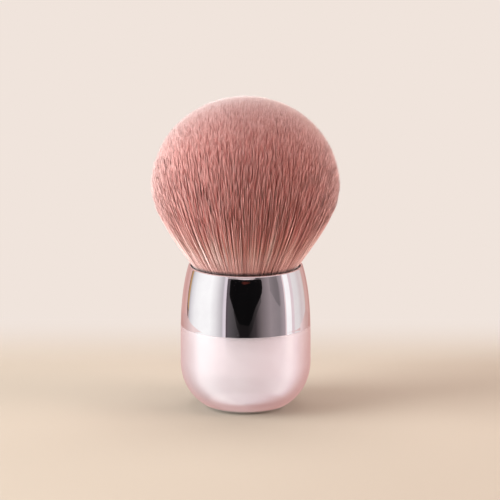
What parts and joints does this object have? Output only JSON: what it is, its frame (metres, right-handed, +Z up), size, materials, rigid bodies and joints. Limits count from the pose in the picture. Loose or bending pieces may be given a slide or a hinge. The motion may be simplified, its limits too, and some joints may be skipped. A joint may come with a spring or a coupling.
{
  "type": "powder brush",
  "caption": "Short powder brush with a large domed tuft of rose bristles, a polished metal band and a rounded pearl-pink handle that stands on a flat foot.",
  "frame": {"origin": "centre of the flat foot, on the surface that the brush stands on", "axes": "+Z up along the brush's own axis, from the foot to the top of the tuft; the brush is round, so +X and +Y are free"},
  "size_m": [0.0533, 0.0531, 0.0892],
  "materials": {
    "pearl_lacquer": "satin pearl lacquer over moulded plastic",
    "steel": "zinc plated",
    "chrome": "bright mirror plating",
    "aluminium": "spun, as drawn",
    "resin": "set adhesive resin",
    "bristle": "soft tapered synthetic filament"
  },
  "bodies": {
    "root": {"handle_shell": "pearl_lacquer", "base_weight": "steel", "chrome_band": "chrome", "ferrule_cup": "aluminium", "resin_plug": "resin", "bristle_tuft": "bristle"}
  },
  "joints": []
}
